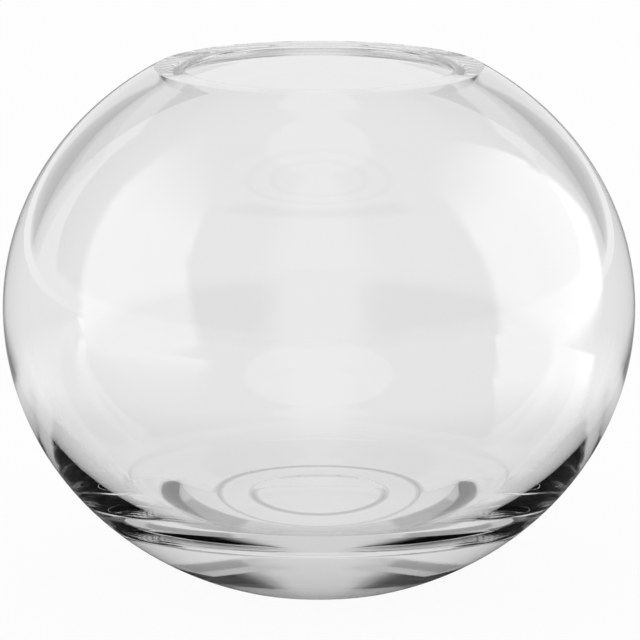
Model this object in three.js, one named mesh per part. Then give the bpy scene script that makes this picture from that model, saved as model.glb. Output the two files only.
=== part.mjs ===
// A clear glass ball vase: a slightly flattened blown globe, cut level at the mouth, with a heavy base.
// It is one piece of glass. Millimetres, +Z up, with the origin at the middle of the foot,
// on the surface that the vase stands on.

import * as THREE from 'three';

// Globe: an upper and a lower half ellipse, turned round the axis, that meet at the widest point.
const globeRadius = 60;
const equatorHeight = 52.3;

// Mouth: the globe is cut level at the full height, and the cut is fire-polished to a soft edge.
const vaseHeight = 98.4;
const mouthRadius = 30.9;
const rimEdgeRound = 1;

// Glass: the wall thins a little towards the mouth. Below the equator it grows, slowly at first, towards
// the thickness that it would have at the foot. The thick floor of the hollow is flat, with a wide fillet.
const sideWall = 4.2;
const mouthWall = 4;
const baseWall = 7.8;
const wallGrowth = 2.2;
const floorThickness = 16.4;
const floorFillet = 16;

// Foot: the globe is cut level below too, and stands on a flat ring round a shallow dish.
const footRadius = 20.1;
const footEdgeRound = 2;
const footRingWidth = 6;
const dishDepth = 1.1;
const dishEdgeRound = 1.5;

// Facets: steps round the axis, along the globe's two walls, and on the smaller rounded edges.
const stepsRound = 64;
const globeStep = THREE.MathUtils.degToRad(7.5);
const edgeStep = THREE.MathUtils.degToRad(30);

// Glass that is clear, with a faint grey body colour.
const clearGlass = new THREE.MeshStandardMaterial({
  color: 0xe8e8e8,
  roughness: 0.03,
  metalness: 0,
  transparent: true,
  opacity: 0.35,
});

// A half ellipse's height above or below the equator, so that it passes the given radius at the given height.
function halfAxisThrough(radius, height) {
  return height / Math.sqrt(1 - (radius / globeRadius) ** 2);
}

const shoulderRise = halfAxisThrough(mouthRadius, vaseHeight - equatorHeight);
const bellyDrop = halfAxisThrough(footRadius, equatorHeight);

// The direction in which the globe's outside faces, at an angle from the equator along its ellipse.
function facing(angle) {
  const halfAxis = angle > 0 ? shoulderRise : bellyDrop;
  return Math.atan2(globeRadius * Math.sin(angle), halfAxis * Math.cos(angle));
}

// A point at a depth in the glass, square to the globe's outside, as a radius and a height.
function globePoint(angle, depth) {
  const halfAxis = angle > 0 ? shoulderRise : bellyDrop;
  const direction = facing(angle);
  return new THREE.Vector2(
    globeRadius * Math.cos(angle) - depth * Math.cos(direction),
    equatorHeight + halfAxis * Math.sin(angle) - depth * Math.sin(direction),
  );
}

function wallAt(angle) {
  if (angle > 0) {
    const rise = shoulderRise * Math.sin(angle) / (vaseHeight - equatorHeight);
    return THREE.MathUtils.lerp(sideWall, mouthWall, Math.min(rise, 1));
  }
  const drop = bellyDrop * Math.sin(-angle) / equatorHeight;
  return THREE.MathUtils.lerp(sideWall, baseWall, drop ** wallGrowth);
}

function innerPoint(angle) {
  return globePoint(angle, wallAt(angle));
}

// The direction from the hollow into the wall, square to the inside.
function innerFacing(angle) {
  const step = 0.0001;
  const along = innerPoint(angle + step).sub(innerPoint(angle - step));
  return Math.atan2(-along.x, along.y);
}

// The middle of the fillet that leaves the inside of the wall at an angle.
function filletCentre(angle) {
  const direction = innerFacing(angle);
  const toWall = new THREE.Vector2(Math.cos(direction), Math.sin(direction));
  return innerPoint(angle).addScaledVector(toWall, -floorFillet);
}

// The angle at which a point, which rises with the angle, lies at a height.
function angleAtHeight(height, pointAt) {
  let low = -Math.PI / 2;
  let high = Math.PI / 2;
  while (high - low > Number.EPSILON) {
    const middle = (low + high) / 2;
    if (pointAt(middle).y < height) {
      low = middle;
    } else {
      high = middle;
    }
  }
  return (low + high) / 2;
}

// Points from one angle to another, both ends included, no further apart than the step.
function sweep(from, to, largestStep, pointAt) {
  const steps = Math.max(2, Math.ceil(Math.abs(to - from) / largestStep));
  return Array.from({ length: steps + 1 }, (_, index) => pointAt(from + (to - from) * index / steps));
}

function arc(centre, radius, from, to, largestStep) {
  return sweep(from, to, largestStep, (angle) => new THREE.Vector2(
    centre.x + radius * Math.cos(angle),
    centre.y + radius * Math.sin(angle),
  ));
}

// The dish is a shallow spherical cap, from the axis out to a rounded edge on the flat ring.
function dish(radius) {
  const reach = (radius ** 2 + dishDepth ** 2) / (2 * dishDepth);
  const sphere = reach - dishEdgeRound;
  const tilt = Math.asin(radius / reach);
  const capCentre = new THREE.Vector2(0, dishDepth - sphere);
  const edgeCentre = new THREE.Vector2(radius, dishEdgeRound);
  const cap = arc(capCentre, sphere, Math.PI / 2, Math.PI / 2 - tilt, tilt / 4);
  const edge = arc(edgeCentre, dishEdgeRound, -Math.PI / 2 - tilt, -Math.PI / 2, tilt / 2);
  return [...cap, ...edge.slice(1)];
}

// The section of the glass: from the axis below, up the outside, over the rim and down the inside to the axis.
function section() {
  const edgeRound = Math.min(rimEdgeRound, mouthWall / 2);
  const underFootEdge = (angle) => globePoint(angle, footEdgeRound);
  const underOuterRim = (angle) => globePoint(angle, edgeRound);
  const underInnerRim = (angle) => globePoint(angle, wallAt(angle) - edgeRound);

  const footAngle = angleAtHeight(footEdgeRound, underFootEdge);
  const outerAngle = angleAtHeight(vaseHeight - edgeRound, underOuterRim);
  const lipAngle = angleAtHeight(vaseHeight - edgeRound, underInnerRim);
  const floorAngle = angleAtHeight(floorThickness + floorFillet, filletCentre);

  const footEdge = underFootEdge(footAngle);
  const outsideAt = (angle) => globePoint(angle, 0);
  const belly = sweep(footAngle, 0, globeStep, outsideAt);
  const shoulder = sweep(0, outerAngle, globeStep, outsideAt);
  const inside = sweep(lipAngle, floorAngle, globeStep, innerPoint);

  return [
    ...dish(footEdge.x - footRingWidth),
    ...arc(footEdge, footEdgeRound, -Math.PI / 2, facing(footAngle), edgeStep),
    ...belly.slice(1),
    ...shoulder.slice(1),
    ...arc(underOuterRim(outerAngle), edgeRound, facing(outerAngle), Math.PI / 2, edgeStep).slice(1),
    ...arc(underInnerRim(lipAngle), edgeRound, Math.PI / 2, facing(lipAngle) + Math.PI, edgeStep),
    ...inside.slice(1),
    ...arc(filletCentre(floorAngle), floorFillet, innerFacing(floorAngle), -Math.PI / 2, edgeStep / 3).slice(1),
    new THREE.Vector2(0, floorThickness),
  ];
}

const vaseBody = new THREE.Mesh(
  new THREE.LatheGeometry(section(), stepsRound).rotateX(Math.PI / 2),
  clearGlass,
);
vaseBody.name = 'vase_body';

const vase = new THREE.Group();
vase.add(vaseBody);

export default vase;
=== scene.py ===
"""A clear glass ball vase on a white studio table.

The vase is one piece of blown glass. Its section is drawn from the sizes below, in metres, and a lathe made
of geometry nodes turns it round the vertical axis. The vase_body part in model.glb gives the width and the
height.
"""

import sys

import math

import bpy
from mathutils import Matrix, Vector


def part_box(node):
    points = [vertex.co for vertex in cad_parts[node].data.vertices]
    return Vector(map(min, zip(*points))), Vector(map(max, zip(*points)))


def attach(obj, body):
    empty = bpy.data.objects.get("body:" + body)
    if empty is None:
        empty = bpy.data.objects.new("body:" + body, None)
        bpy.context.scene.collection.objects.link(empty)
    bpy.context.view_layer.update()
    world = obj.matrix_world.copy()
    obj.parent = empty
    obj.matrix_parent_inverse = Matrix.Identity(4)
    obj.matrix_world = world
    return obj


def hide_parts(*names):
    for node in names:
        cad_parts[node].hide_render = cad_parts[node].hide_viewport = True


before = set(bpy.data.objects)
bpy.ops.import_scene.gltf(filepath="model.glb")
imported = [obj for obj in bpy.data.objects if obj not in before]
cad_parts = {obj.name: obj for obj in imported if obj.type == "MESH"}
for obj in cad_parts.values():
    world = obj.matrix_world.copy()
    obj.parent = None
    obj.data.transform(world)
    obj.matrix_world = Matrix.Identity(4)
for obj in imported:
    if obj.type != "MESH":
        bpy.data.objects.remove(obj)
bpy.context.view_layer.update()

MM = 0.001
PHOTO_PIXELS = 640

# Globe: an upper and a lower half ellipse that meet at the widest point.
HIGHEST_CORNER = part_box("vase_body")[1]
GLOBE_RADIUS = HIGHEST_CORNER.x
VASE_HEIGHT = HIGHEST_CORNER.z
EQUATOR_HEIGHT = 52.3 * MM

# Mouth: a level cut, fire-polished to a soft edge.
MOUTH_RADIUS = 30.9 * MM
RIM_EDGE_ROUND = 1.0 * MM

# Glass: the wall thins towards the mouth and thickens towards the foot. The floor of the hollow is flat
# and thick.
SIDE_WALL = 4.2 * MM
MOUTH_WALL = 4.0 * MM
BASE_WALL = 7.8 * MM
WALL_GROWTH = 2.2
FLOOR_THICKNESS = 16.4 * MM
FLOOR_FILLET = 16.0 * MM

# Foot: a flat ring round a shallow dish.
FOOT_RADIUS = 20.1 * MM
FOOT_EDGE_ROUND = 2.0 * MM
FOOT_RING_WIDTH = 6.0 * MM
DISH_DEPTH = 1.1 * MM
DISH_EDGE_ROUND = 1.5 * MM

# Mesh: steps round the axis, and the largest step along the section.
STEPS_ROUND = 192
GLOBE_STEP = math.radians(1.5)
EDGE_STEP = math.radians(10)
FLAT_STEP = 0.9 * MM

# Waves that blowing leaves in the glass. The ground foot below the fade height has none.
WAVE_HEIGHT = 0.02 * MM
WAVE_LENGTH = 45 * MM
WAVE_SEED = 7.0
WAVE_FADE_HEIGHT = 6 * MM


def half_axis_through(radius, height):
    """A half ellipse's height, so that it passes the given radius at the given height from the equator."""
    return height / math.sqrt(1 - (radius / GLOBE_RADIUS) ** 2)


SHOULDER_RISE = half_axis_through(MOUTH_RADIUS, VASE_HEIGHT - EQUATOR_HEIGHT)
BELLY_DROP = half_axis_through(FOOT_RADIUS, EQUATOR_HEIGHT)


def half_axis(angle):
    return SHOULDER_RISE if angle > 0 else BELLY_DROP


def facing(angle):
    """The direction in which the globe's outside faces, at an angle from the equator along its ellipse."""
    return math.atan2(GLOBE_RADIUS * math.sin(angle), half_axis(angle) * math.cos(angle))


def globe_point(angle, depth):
    """A point at a depth in the glass, square to the globe's outside, as a radius and a height."""
    direction = facing(angle)
    return Vector((
        GLOBE_RADIUS * math.cos(angle) - depth * math.cos(direction),
        EQUATOR_HEIGHT + half_axis(angle) * math.sin(angle) - depth * math.sin(direction),
    ))


def wall_at(angle):
    """The wall thins evenly with height above the equator, and thickens more and more below it."""
    if angle > 0:
        rise = SHOULDER_RISE * math.sin(angle) / (VASE_HEIGHT - EQUATOR_HEIGHT)
        return SIDE_WALL + (MOUTH_WALL - SIDE_WALL) * min(rise, 1)
    drop = BELLY_DROP * math.sin(angle) / EQUATOR_HEIGHT
    return SIDE_WALL + (BASE_WALL - SIDE_WALL) * abs(drop) ** WALL_GROWTH


def inner_point(angle):
    return globe_point(angle, wall_at(angle))


def inner_facing(angle):
    """The direction from the hollow into the wall, square to the inside."""
    step = 0.0001
    along = inner_point(angle + step) - inner_point(angle - step)
    return math.atan2(-along.x, along.y)


def fillet_centre(angle):
    """The middle of the fillet that leaves the inside of the wall at an angle."""
    direction = inner_facing(angle)
    return inner_point(angle) - FLOOR_FILLET * Vector((math.cos(direction), math.sin(direction)))


def angle_at_height(height, point_at):
    """The angle at which a point, which rises with the angle, lies at a height."""
    low, high = -math.pi / 2, math.pi / 2
    while high - low > sys.float_info.epsilon:
        middle = (low + high) / 2
        if point_at(middle).y < height:
            low = middle
        else:
            high = middle
    return (low + high) / 2


def sweep(start, end, largest_step, point_at):
    """Points from one value to another, both ends included, no further apart than the step."""
    steps = max(2, math.ceil(abs(end - start) / largest_step))
    return [point_at(start + (end - start) * step / steps) for step in range(steps + 1)]


def arc(centre, radius, start, end, largest_step):
    return sweep(start, end, largest_step, lambda angle: Vector((
        centre.x + radius * math.cos(angle),
        centre.y + radius * math.sin(angle),
    )))


def level(height, start, end):
    """Points along a flat stretch, close together, so that smooth shading stays flat there."""
    return sweep(start, end, FLAT_STEP, lambda radius: Vector((radius, height)))


def dish(radius):
    """A shallow spherical cap under the base, from the axis out to a rounded edge on the flat ring."""
    reach = (radius ** 2 + DISH_DEPTH ** 2) / (2 * DISH_DEPTH)
    sphere = reach - DISH_EDGE_ROUND
    tilt = math.asin(radius / reach)
    up, down = math.pi / 2, -math.pi / 2
    cap = arc(Vector((0, DISH_DEPTH - sphere)), sphere, up, up - tilt, FLAT_STEP / sphere)
    edge = arc(Vector((radius, DISH_EDGE_ROUND)), DISH_EDGE_ROUND, down - tilt, down, EDGE_STEP / 2)
    return cap + edge[1:]


def vase_section():
    """From the axis below, up the outside, over the rim and down the inside to the axis."""
    def under_foot_edge(angle):
        return globe_point(angle, FOOT_EDGE_ROUND)

    def under_outer_rim(angle):
        return globe_point(angle, RIM_EDGE_ROUND)

    def under_inner_rim(angle):
        return globe_point(angle, wall_at(angle) - RIM_EDGE_ROUND)

    foot_angle = angle_at_height(FOOT_EDGE_ROUND, under_foot_edge)
    outer_angle = angle_at_height(VASE_HEIGHT - RIM_EDGE_ROUND, under_outer_rim)
    lip_angle = angle_at_height(VASE_HEIGHT - RIM_EDGE_ROUND, under_inner_rim)
    floor_angle = angle_at_height(FLOOR_THICKNESS + FLOOR_FILLET, fillet_centre)

    foot_edge = under_foot_edge(foot_angle)
    outer_rim = under_outer_rim(outer_angle)
    inner_rim = under_inner_rim(lip_angle)
    fillet = fillet_centre(floor_angle)
    dish_radius = foot_edge.x - FOOT_RING_WIDTH

    stretches = [
        dish(dish_radius),
        level(0, dish_radius, foot_edge.x),
        arc(foot_edge, FOOT_EDGE_ROUND, -math.pi / 2, facing(foot_angle), EDGE_STEP / 2),
        sweep(foot_angle, outer_angle, GLOBE_STEP, lambda angle: globe_point(angle, 0)),
        arc(outer_rim, RIM_EDGE_ROUND, facing(outer_angle), math.pi / 2, EDGE_STEP),
        level(VASE_HEIGHT, outer_rim.x, inner_rim.x),
        arc(inner_rim, RIM_EDGE_ROUND, math.pi / 2, facing(lip_angle) + math.pi, EDGE_STEP),
        sweep(lip_angle, floor_angle, GLOBE_STEP, inner_point),
        arc(fillet, FLOOR_FILLET, inner_facing(floor_angle), -math.pi / 2, EDGE_STEP / 4),
        level(FLOOR_THICKNESS, fillet.x, 0),
    ]
    return stretches[0] + [point for stretch in stretches[1:] for point in stretch[1:]]


def add_node(tree, kind, inputs=None, **settings):
    """Adds a node. An input is a plain value or the output socket that it is linked from."""
    node = tree.nodes.new(kind)
    for name, value in settings.items():
        setattr(node, name, value)
    for socket, value in (inputs or {}).items():
        if isinstance(value, bpy.types.NodeSocket):
            tree.links.new(value, node.inputs[socket])
        else:
            node.inputs[socket].default_value = value
    return node


def linear(srgb_hex):
    """An sRGB hex colour as linear red, green, blue and a full alpha."""
    channels = [int(srgb_hex[place:place + 2], 16) / 255 for place in (1, 3, 5)]
    return [c / 12.92 if c <= 0.04045 else ((c + 0.055) / 1.055) ** 2.4 for c in channels] + [1]


def blown_glass():
    """Soda-lime glass, blown and fire-polished.

    It is clear and nearly without colour. The polish shows the studio sharply, and faint upright cords in the
    melt, where the glass mixed unevenly, bend what is seen through it by a hair.
    """
    cord_spacing = 9 * MM
    cord_height = 0.004 * MM
    upright_scale = 0.35
    material = bpy.data.materials.new("blown_soda_lime_glass")
    material.use_nodes = True
    tree = material.node_tree
    tree.nodes.clear()
    place = add_node(tree, "ShaderNodeTexCoord")
    stretched = add_node(tree, "ShaderNodeMapping", {
        "Vector": place.outputs["Object"],
        "Scale": (1, 1, upright_scale),
    })
    cords = add_node(tree, "ShaderNodeTexNoise", {
        "Vector": stretched.outputs["Vector"],
        "Scale": 1 / cord_spacing,
        "Detail": 1,
        "Roughness": 0.4,
    })
    waves = add_node(tree, "ShaderNodeBump", {
        "Height": cords.outputs["Fac"],
        "Strength": 1,
        "Distance": cord_height,
    })
    glass = add_node(tree, "ShaderNodeBsdfPrincipled", {
        "Base Color": linear("#fefefe"),
        "Roughness": 0,
        "IOR": 1.52,
        "Transmission Weight": 1,
        "Normal": waves.outputs["Normal"],
    })
    add_node(tree, "ShaderNodeOutputMaterial", {"Surface": glass.outputs["BSDF"]})
    return material


def glass_lathe():
    """A lathe for blown glass: turns a section round the vertical axis, with faint waves in the surface.

    The section lies flat, with its distance from the swing radius along X and its height along -Y, because a
    swept outline's X points away from the circle's middle and its Y points down.
    """
    weld_distance = 0.01 * MM
    tree = bpy.data.node_groups.new("glass_lathe", "GeometryNodeTree")
    kinds = {
        "Section": "NodeSocketGeometry",
        "Steps Round": "NodeSocketInt",
        "Swing Radius": "NodeSocketFloat",
        "Wave Height": "NodeSocketFloat",
        "Wave Length": "NodeSocketFloat",
        "Wave Seed": "NodeSocketFloat",
        "Fade Height": "NodeSocketFloat",
        "Glass": "NodeSocketMaterial",
    }
    for name, kind in kinds.items():
        tree.interface.new_socket(name, in_out="INPUT", socket_type=kind)
    tree.interface.new_socket("Vase", in_out="OUTPUT", socket_type="NodeSocketGeometry")

    sizes = add_node(tree, "NodeGroupInput").outputs
    outline = add_node(tree, "GeometryNodeMeshToCurve", {"Mesh": sizes["Section"]})
    circle = add_node(tree, "GeometryNodeCurvePrimitiveCircle", {
        "Resolution": sizes["Steps Round"],
        "Radius": sizes["Swing Radius"],
    })
    turned = add_node(tree, "GeometryNodeCurveToMesh", {
        "Curve": circle.outputs["Curve"],
        "Profile Curve": outline.outputs["Curve"],
    })
    outward = add_node(tree, "GeometryNodeFlipFaces", {"Mesh": turned.outputs["Mesh"]})
    closed = add_node(tree, "GeometryNodeMergeByDistance", {
        "Geometry": outward.outputs["Mesh"],
        "Distance": weld_distance,
    })

    place = add_node(tree, "GeometryNodeInputPosition")
    normal = add_node(tree, "GeometryNodeInputNormal")
    frequency = add_node(tree, "ShaderNodeMath", {0: 1.0, 1: sizes["Wave Length"]}, operation="DIVIDE")
    noise = add_node(tree, "ShaderNodeTexNoise", {
        "Vector": place.outputs["Position"],
        "W": sizes["Wave Seed"],
        "Scale": frequency.outputs["Value"],
        "Detail": 0,
    }, noise_dimensions="4D")
    height = add_node(tree, "ShaderNodeSeparateXYZ", {"Vector": place.outputs["Position"]})
    fade = add_node(tree, "ShaderNodeMapRange", {
        "Value": height.outputs["Z"],
        "From Max": sizes["Fade Height"],
    }, interpolation_type="SMOOTHSTEP")
    wave = add_node(tree, "ShaderNodeMath", {
        0: noise.outputs["Fac"],
        1: sizes["Wave Height"],
    }, operation="MULTIPLY")
    faded = add_node(tree, "ShaderNodeMath", {
        0: wave.outputs["Value"],
        1: fade.outputs["Result"],
    }, operation="MULTIPLY")
    depth = add_node(tree, "ShaderNodeMath", {0: faded.outputs["Value"], 1: -1.0}, operation="MULTIPLY")
    inward = add_node(tree, "ShaderNodeVectorMath", {
        0: normal.outputs["Normal"],
        "Scale": depth.outputs["Value"],
    }, operation="SCALE")
    waved = add_node(tree, "GeometryNodeSetPosition", {
        "Geometry": closed.outputs["Geometry"],
        "Offset": inward.outputs["Vector"],
    })

    smooth = add_node(tree, "GeometryNodeSetShadeSmooth", {"Geometry": waved.outputs["Geometry"]})
    whole = add_node(tree, "GeometryNodeRealizeInstances", {"Geometry": smooth.outputs["Geometry"]})
    glazed = add_node(tree, "GeometryNodeSetMaterial", {
        "Geometry": whole.outputs["Geometry"],
        "Material": sizes["Glass"],
    })
    add_node(tree, "NodeGroupOutput", {"Vase": glazed.outputs["Geometry"]})
    return tree


def turned_vase():
    """The vase's section, turned on the lathe and kept as a plain mesh."""
    points = [(point.x - GLOBE_RADIUS, -point.y, 0) for point in vase_section()]
    edges = [(place, place + 1) for place in range(len(points) - 1)]
    section = bpy.data.meshes.new("vase_section")
    section.from_pydata(points, edges, [])
    vase = bpy.data.objects.new("ball_vase", section)
    bpy.context.scene.collection.objects.link(vase)

    lathe = vase.modifiers.new("lathe", "NODES")
    lathe.node_group = glass_lathe()
    sizes = {
        "Steps Round": STEPS_ROUND,
        "Swing Radius": GLOBE_RADIUS,
        "Wave Height": WAVE_HEIGHT,
        "Wave Length": WAVE_LENGTH,
        "Wave Seed": WAVE_SEED,
        "Fade Height": WAVE_FADE_HEIGHT,
        "Glass": blown_glass(),
    }
    for socket in lathe.node_group.interface.items_tree:
        if socket.name in sizes:
            lathe[socket.identifier] = sizes[socket.name]

    depsgraph = bpy.context.evaluated_depsgraph_get()
    turned = bpy.data.meshes.new_from_object(vase.evaluated_get(depsgraph), depsgraph=depsgraph)
    vase.modifiers.clear()
    vase.data = turned
    return vase


vase = turned_vase()
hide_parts("vase_body")
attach(vase, "root")


# Studio: a white room and table. What shows through the glass and what its outside mirrors have levels of
# their own. The table lies a hair below the foot, because air stays between them.
WHITE = 1.0
ROOM_THROUGH = 0.85
ROOM_MIRRORED = 1.1
TABLE_HALF = 3.0
TABLE_GAP = 0.05 * MM
CARD_DISTANCE = 2.0


def studio_strength(tree, through, mirrored):
    """White, but the studio's own levels for what shows through the glass and for what it mirrors."""
    path = add_node(tree, "ShaderNodeLightPath")
    glass = add_node(tree, "ShaderNodeMix", {
        "Factor": path.outputs["Is Transmission Ray"],
        "A": mirrored,
        "B": through,
    })
    return add_node(tree, "ShaderNodeMix", {
        "Factor": path.outputs["Is Glossy Ray"],
        "A": WHITE,
        "B": glass.outputs["Result"],
    }).outputs["Result"]


def white_room():
    world = bpy.data.worlds.new("white_room")
    world.use_nodes = True
    tree = world.node_tree
    tree.nodes.clear()
    strength = studio_strength(tree, ROOM_THROUGH, ROOM_MIRRORED)
    light = add_node(tree, "ShaderNodeBackground", {"Strength": strength})
    add_node(tree, "ShaderNodeOutputWorld", {"Surface": light.outputs["Background"]})
    bpy.context.scene.world = world


def white_table():
    """A matt white table. Most of its white is the backdrop's own, and the rest takes the vase's shadow.

    In mirror images it carries a painted shade close to the foot, where the globe hangs over it, and is dim
    behind the vase, which gives the glass grey edges on the white.
    """
    backdrop_share = 0.94
    painted_shade_radius, light_radius = 95 * MM, 150 * MM
    bright_depth, dim_depth = 20 * MM, 160 * MM
    dim_share = 0.35
    material = bpy.data.materials.new("white_table")
    material.use_nodes = True
    tree = material.node_tree
    tree.nodes.clear()
    place = add_node(tree, "ShaderNodeTexCoord").outputs["Object"]
    from_foot = add_node(tree, "ShaderNodeVectorMath", {0: place}, operation="LENGTH")
    depth = add_node(tree, "ShaderNodeSeparateXYZ", {"Vector": place})
    # Painted shade: in mirror images the table is black near the foot and brightens to the room's level
    # further out.
    painted_shade_near_foot = add_node(tree, "ShaderNodeMapRange", {
        "Value": from_foot.outputs["Value"],
        "From Min": painted_shade_radius,
        "From Max": light_radius,
        "To Min": 0,
        "To Max": ROOM_MIRRORED,
    }, interpolation_type="SMOOTHSTEP")
    back_table = add_node(tree, "ShaderNodeMapRange", {
        "Value": depth.outputs["Y"],
        "From Min": bright_depth,
        "From Max": dim_depth,
        "To Min": 1,
        "To Max": dim_share,
    }, interpolation_type="SMOOTHSTEP")
    mirrored = add_node(tree, "ShaderNodeMath", {
        0: painted_shade_near_foot.outputs["Result"],
        1: back_table.outputs["Result"],
    }, operation="MULTIPLY")
    strength = studio_strength(tree, ROOM_THROUGH, mirrored.outputs["Value"])
    glow = add_node(tree, "ShaderNodeEmission", {"Strength": strength})
    matt = add_node(tree, "ShaderNodeBsdfDiffuse", {"Color": linear("#ffffff")})
    both = add_node(tree, "ShaderNodeMixShader", {
        "Fac": backdrop_share,
        1: matt.outputs["BSDF"],
        2: glow.outputs["Emission"],
    })
    add_node(tree, "ShaderNodeOutputMaterial", {"Surface": both.outputs["Shader"]})
    return material


def studio_piece(name, corners, faces, material):
    """A flat piece of the studio."""
    mesh = bpy.data.meshes.new(name)
    mesh.from_pydata(corners, [], faces)
    mesh.materials.append(material)
    piece = bpy.data.objects.new(name, mesh)
    bpy.context.scene.collection.objects.link(piece)
    return piece


def edge_fade(tree, across, width):
    """Rises from 0 at both edges of a card to 1 at a share of its width. Across runs from 0 to 1."""
    from_middle = add_node(tree, "ShaderNodeMath", {0: across, 1: 0.5}, operation="SUBTRACT")
    away = add_node(tree, "ShaderNodeMath", {0: from_middle.outputs["Value"]}, operation="ABSOLUTE")
    return add_node(tree, "ShaderNodeMapRange", {
        "Value": away.outputs["Value"],
        "From Min": 0.5,
        "From Max": 0.5 - width,
    }, interpolation_type="SMOOTHSTEP").outputs["Result"]


def card_glow(name, strength, side_fade, end_fade):
    """An even glow, or black at no strength, that fades out to the card's sides and ends."""
    material = bpy.data.materials.new(name)
    material.use_nodes = True
    tree = material.node_tree
    tree.nodes.clear()
    place = add_node(tree, "ShaderNodeSeparateXYZ", {
        "Vector": add_node(tree, "ShaderNodeUVMap", uv_map="card").outputs["UV"],
    })
    cover = add_node(tree, "ShaderNodeMath", {
        0: edge_fade(tree, place.outputs["X"], side_fade),
        1: edge_fade(tree, place.outputs["Y"], end_fade),
    }, operation="MULTIPLY")
    clear = add_node(tree, "ShaderNodeBsdfTransparent")
    light = add_node(tree, "ShaderNodeEmission", {"Strength": strength})
    faded = add_node(tree, "ShaderNodeMixShader", {
        "Fac": cover.outputs["Value"],
        1: clear.outputs["BSDF"],
        2: light.outputs["Emission"],
    })
    add_node(tree, "ShaderNodeOutputMaterial", {"Surface": faded.outputs["Shader"]})
    return material


def studio_card(name, stations, strength, side_fade, end_fade, mirrored):
    """A card from pairs of side points, one pair at each station along it.

    It stays out of the picture and lights no table. It shows on the glass, as a mirror image, or through it.
    """
    corners = [side for station in stations for side in station]
    faces = [(2 * row, 2 * row + 1, 2 * row + 3, 2 * row + 2) for row in range(len(stations) - 1)]
    card = studio_piece(name, corners, faces, card_glow(name, strength, side_fade, end_fade))
    layer = card.data.uv_layers.new(name="card")
    for loop in card.data.loops:
        row, side = divmod(loop.vertex_index, 2)
        layer.data[loop.index].uv = (side, row / (len(stations) - 1))
    card.visible_camera = False
    card.visible_diffuse = False
    card.visible_shadow = False
    card.visible_glossy = mirrored
    card.visible_transmission = not mirrored


def toward(azimuth, elevation):
    """A place at the cards' distance from the vase, with azimuth 0 behind it and 90 to its right."""
    turn = math.radians(azimuth)
    rise = math.radians(elevation)
    return Vector((
        CARD_DISTANCE * math.cos(rise) * math.sin(turn),
        CARD_DISTANCE * math.cos(rise) * math.cos(turn),
        EQUATOR_HEIGHT + CARD_DISTANCE * math.sin(rise),
    ))


def on_table(azimuth, distance):
    """A place on the table, at a distance from the vase's middle."""
    turn = math.radians(azimuth)
    return Vector((distance * math.sin(turn), distance * math.cos(turn), -TABLE_GAP / 2))


def softboxes():
    """Tall softboxes left and right, each with a white reflector on the table that leads up to it."""
    studio_card("left_softbox", [
        (on_table(-155, 85 * MM), on_table(-100, 85 * MM)),
        (on_table(-147, 450 * MM), on_table(-90, 450 * MM)),
        (on_table(-141, CARD_DISTANCE), on_table(-84, CARD_DISTANCE)),
        (toward(-137, 10), toward(-80, 10)),
        (toward(-128, 30), toward(-72, 30)),
        (toward(-116, 60), toward(-56, 60)),
    ], strength=3.0, side_fade=0.12, end_fade=0.2, mirrored=True)
    studio_card("right_softbox", [
        (on_table(92, 75 * MM), on_table(130, 75 * MM)),
        (on_table(72, 220 * MM), on_table(124, 220 * MM)),
        (on_table(54, CARD_DISTANCE), on_table(116, CARD_DISTANCE)),
        (toward(47, 10), toward(116, 10)),
        (toward(54, 30), toward(115, 30)),
        (toward(70, 60), toward(112, 60)),
    ], strength=3.4, side_fade=0.1, end_fade=0.2, mirrored=True)


def flag_foot(azimuth):
    """The elevation of a flag's lower edge: high behind the vase, and just above the table beside it."""
    high, low = 34, 3
    turn_down = 44
    drop_per_degree = 2
    return max(low, high - max(0, azimuth - turn_down) * drop_per_degree)


def black_flags():
    """Cards left and right of the vase that show only through it, and draw dark bands in its thick glass.

    On each side a black flag stands round the vase, a black belt hangs low in front of it, and a grey card
    stands behind.
    """
    flag_top = 77
    belt_bottom, belt_top = 7, 19
    belt_distance = 0.95
    grey_bottom, grey_top = -1, 26
    for mirror in (-1, 1):
        side = "right" if mirror > 0 else "left"
        studio_card(side + "_flag", [
            (toward(mirror * azimuth, flag_foot(azimuth)), toward(mirror * azimuth, flag_top))
            for azimuth in range(14, 171, 6)
        ], strength=0, side_fade=0.05, end_fade=0.13, mirrored=False)
        studio_card(side + "_belt", [
            [toward(mirror * azimuth, edge) * belt_distance for edge in (belt_bottom, belt_top)]
            for azimuth in range(130, 166, 5)
        ], strength=0, side_fade=0.35, end_fade=0.2, mirrored=False)
        studio_card(side + "_grey", [
            (toward(mirror * azimuth, grey_bottom), toward(mirror * azimuth, grey_top))
            for azimuth in range(18, 49, 10)
        ], strength=0.42, side_fade=0.1, end_fade=0.1, mirrored=False)


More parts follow.
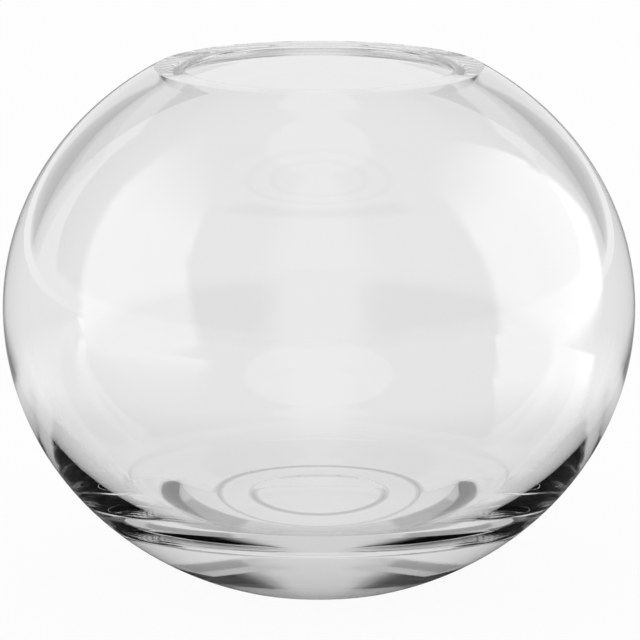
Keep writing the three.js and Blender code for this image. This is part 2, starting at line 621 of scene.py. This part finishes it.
def foot_shades():
    """Shade on the table, in front of the foot and in thin rings under the rounded edges of its flat ring.

    The rings are closed, so their ends hardly fade.
    """
    studio_card("foot_shade", [
        (on_table(azimuth, 24 * MM), on_table(azimuth, 42 * MM)) for azimuth in range(100, 261, 10)
    ], strength=0.3, side_fade=0.4, end_fade=0.15, mirrored=False)
    half_width = 1.2 * MM
    inner_edge = FOOT_RADIUS - FOOT_EDGE_ROUND / 2 - FOOT_RING_WIDTH
    for name, edge in (("outer", FOOT_RADIUS), ("inner", inner_edge)):
        studio_card(name + "_foot_shade", [
            (on_table(azimuth, edge - half_width), on_table(azimuth, edge + half_width))
            for azimuth in range(0, 361, 5)
        ], strength=0.5, side_fade=0.45, end_fade=0.0005, mirrored=False)


def camera_at_photo_angle():
    """A long lens a little above the vase, aimed so that the vase fills the frame as in the photograph."""
    distance = 0.96
    elevation = math.radians(12)
    pixels_per_metre_at_one_metre = 5051.5
    aim = Vector((0.19 * MM, 0, EQUATOR_HEIGHT - 2.72 * MM))
    data = bpy.data.cameras.new("photo_camera")
    data.sensor_width = 36
    data.lens = data.sensor_width * pixels_per_metre_at_one_metre / PHOTO_PIXELS
    camera = bpy.data.objects.new("photo_camera", data)
    bpy.context.scene.collection.objects.link(camera)
    view = Vector((0, math.cos(elevation), -math.sin(elevation)))
    camera.location = Vector((0, 0, EQUATOR_HEIGHT)) - view * distance
    camera.rotation_euler = (aim - camera.location).to_track_quat("-Z", "Y").to_euler()
    bpy.context.scene.camera = camera


white_room()
studio_piece("table", [
    (-TABLE_HALF, -TABLE_HALF, -TABLE_GAP), (TABLE_HALF, -TABLE_HALF, -TABLE_GAP),
    (TABLE_HALF, TABLE_HALF, -TABLE_GAP), (-TABLE_HALF, TABLE_HALF, -TABLE_GAP),
], [(0, 1, 2, 3)], white_table())
softboxes()
black_flags()
foot_shades()
camera_at_photo_angle()

# Light passes many glass surfaces in the base and the rim, and many mirror it inside the glass.
GLASS_BOUNCES = 48
scene = bpy.context.scene
scene.view_settings.view_transform = "Standard"
scene.cycles.max_bounces = GLASS_BOUNCES
scene.cycles.transmission_bounces = GLASS_BOUNCES
scene.cycles.glossy_bounces = GLASS_BOUNCES
